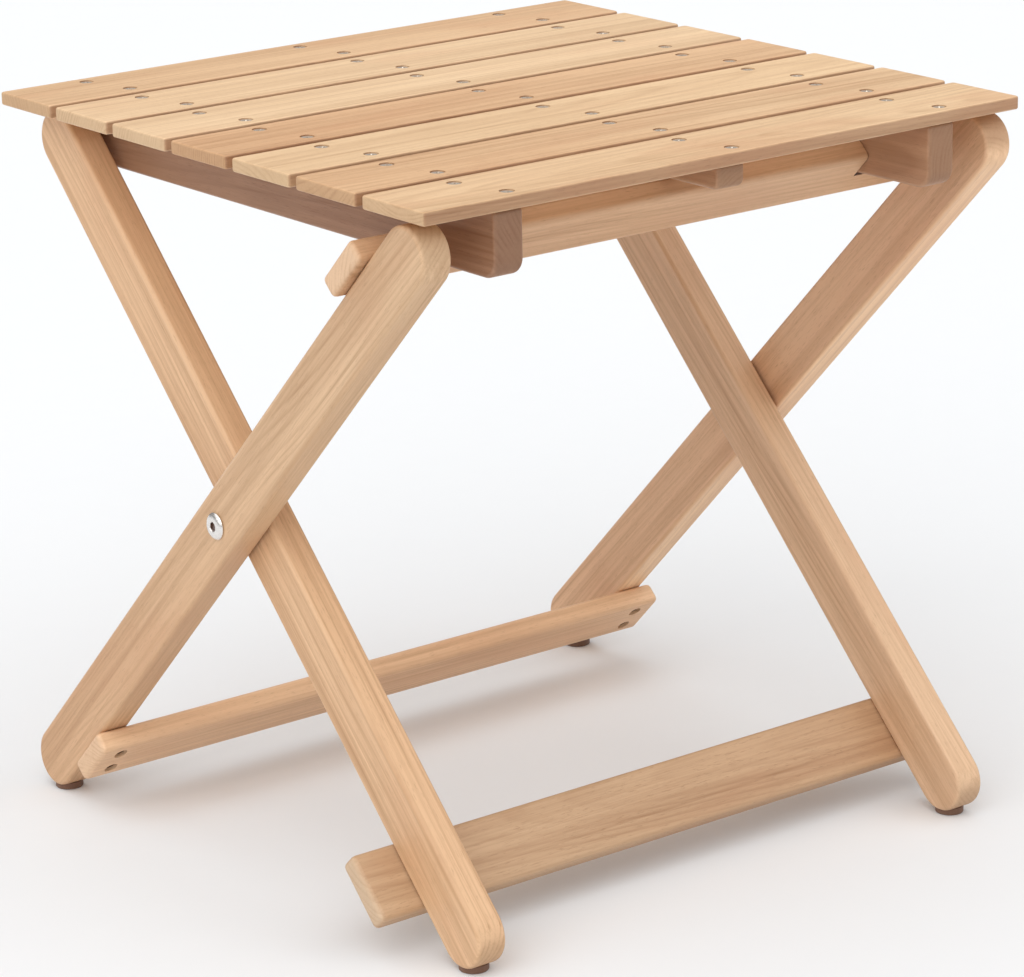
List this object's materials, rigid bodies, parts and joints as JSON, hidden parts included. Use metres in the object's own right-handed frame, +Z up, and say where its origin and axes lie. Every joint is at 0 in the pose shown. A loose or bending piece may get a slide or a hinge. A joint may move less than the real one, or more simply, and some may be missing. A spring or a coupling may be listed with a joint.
{
  "type": "folding side table",
  "caption": "Small folding side table: slatted wooden top turning on crossed wooden leg frames, with cross rails, pivot bolts, countersunk screws and foot glides.",
  "frame": {"origin": "on the floor, under the middle of the table's bounding box", "axes": "+X along the slats, +Y from the front edge to the rear edge, +Z up"},
  "size_m": [0.448, 0.4344, 0.45],
  "materials": {
    "wood_pale": "oiled, fine grain",
    "wood_straw": "oiled, fine grain",
    "wood_honey": "oiled, fine grain",
    "wood_rose": "oiled, fine grain",
    "wood_tan": "oiled, fine grain",
    "stainless_steel": "satin",
    "brown_plastic": "matt"
  },
  "bodies": {
    "inner_frame": {"board_screw_left_lower": "stainless_steel", "board_screw_left_upper": "stainless_steel", "board_screw_right_lower": "stainless_steel", "board_screw_right_upper": "stainless_steel", "foot_glide_front_left": "brown_plastic", "foot_glide_front_right": "brown_plastic", "front_board": "wood_honey", "inner_leg_left": "wood_rose", "inner_leg_right": "wood_honey", "pivot_bolt_left": "stainless_steel", "pivot_bolt_right": "stainless_steel", "pivot_washer_left": "stainless_steel", "pivot_washer_right": "stainless_steel", "threaded_insert_left": "stainless_steel", "threaded_insert_right": "stainless_steel"},
    "outer_frame": {"foot_glide_rear_left": "brown_plastic", "foot_glide_rear_right": "brown_plastic", "front_rail": "wood_rose", "outer_leg_left": "wood_honey", "outer_leg_right": "wood_rose", "rail_screw_left_lower": "stainless_steel", "rail_screw_left_upper": "stainless_steel", "rail_screw_right_lower": "stainless_steel", "rail_screw_right_upper": "stainless_steel", "rear_stretcher": "wood_pale", "stretcher_screw_left_lower": "stainless_steel", "stretcher_screw_left_upper": "stainless_steel", "stretcher_screw_right_lower": "stainless_steel", "stretcher_screw_right_upper": "stainless_steel"},
    "pivot_rod": {"pivot_dowel": "wood_pale"},
    "top": {"batten_left": "wood_honey", "batten_middle": "wood_rose", "batten_right": "wood_rose", "slat_1": "wood_rose", "slat_2": "wood_pale", "slat_3": "wood_straw", "slat_4": "wood_tan", "slat_5": "wood_pale", "slat_6": "wood_rose", "slat_7": "wood_straw"}
  },
  "joints": [
    {"name": "leg_fold", "type": "hinge", "parent": "inner_frame", "child": "outer_frame", "pos_m": [0, 0, 0.22368], "axis": [1, 0, 0], "range_deg": [0, 90.6]},
    {"name": "top_fold", "type": "hinge", "parent": "inner_frame", "child": "pivot_rod", "pos_m": [0, 0.19289, 0.41996], "axis": [1, 0, 0], "range_deg": [0, 40]},
    {"name": "top_lift", "type": "hinge", "parent": "pivot_rod", "child": "top", "pos_m": [0, 0.19289, 0.41996], "axis": [-1, 0, 0], "range_deg": [0, 20]}
  ],
  "couplings": [
    {"joint": "top_fold", "follows": "leg_fold", "ratio": 0.44}
  ]
}
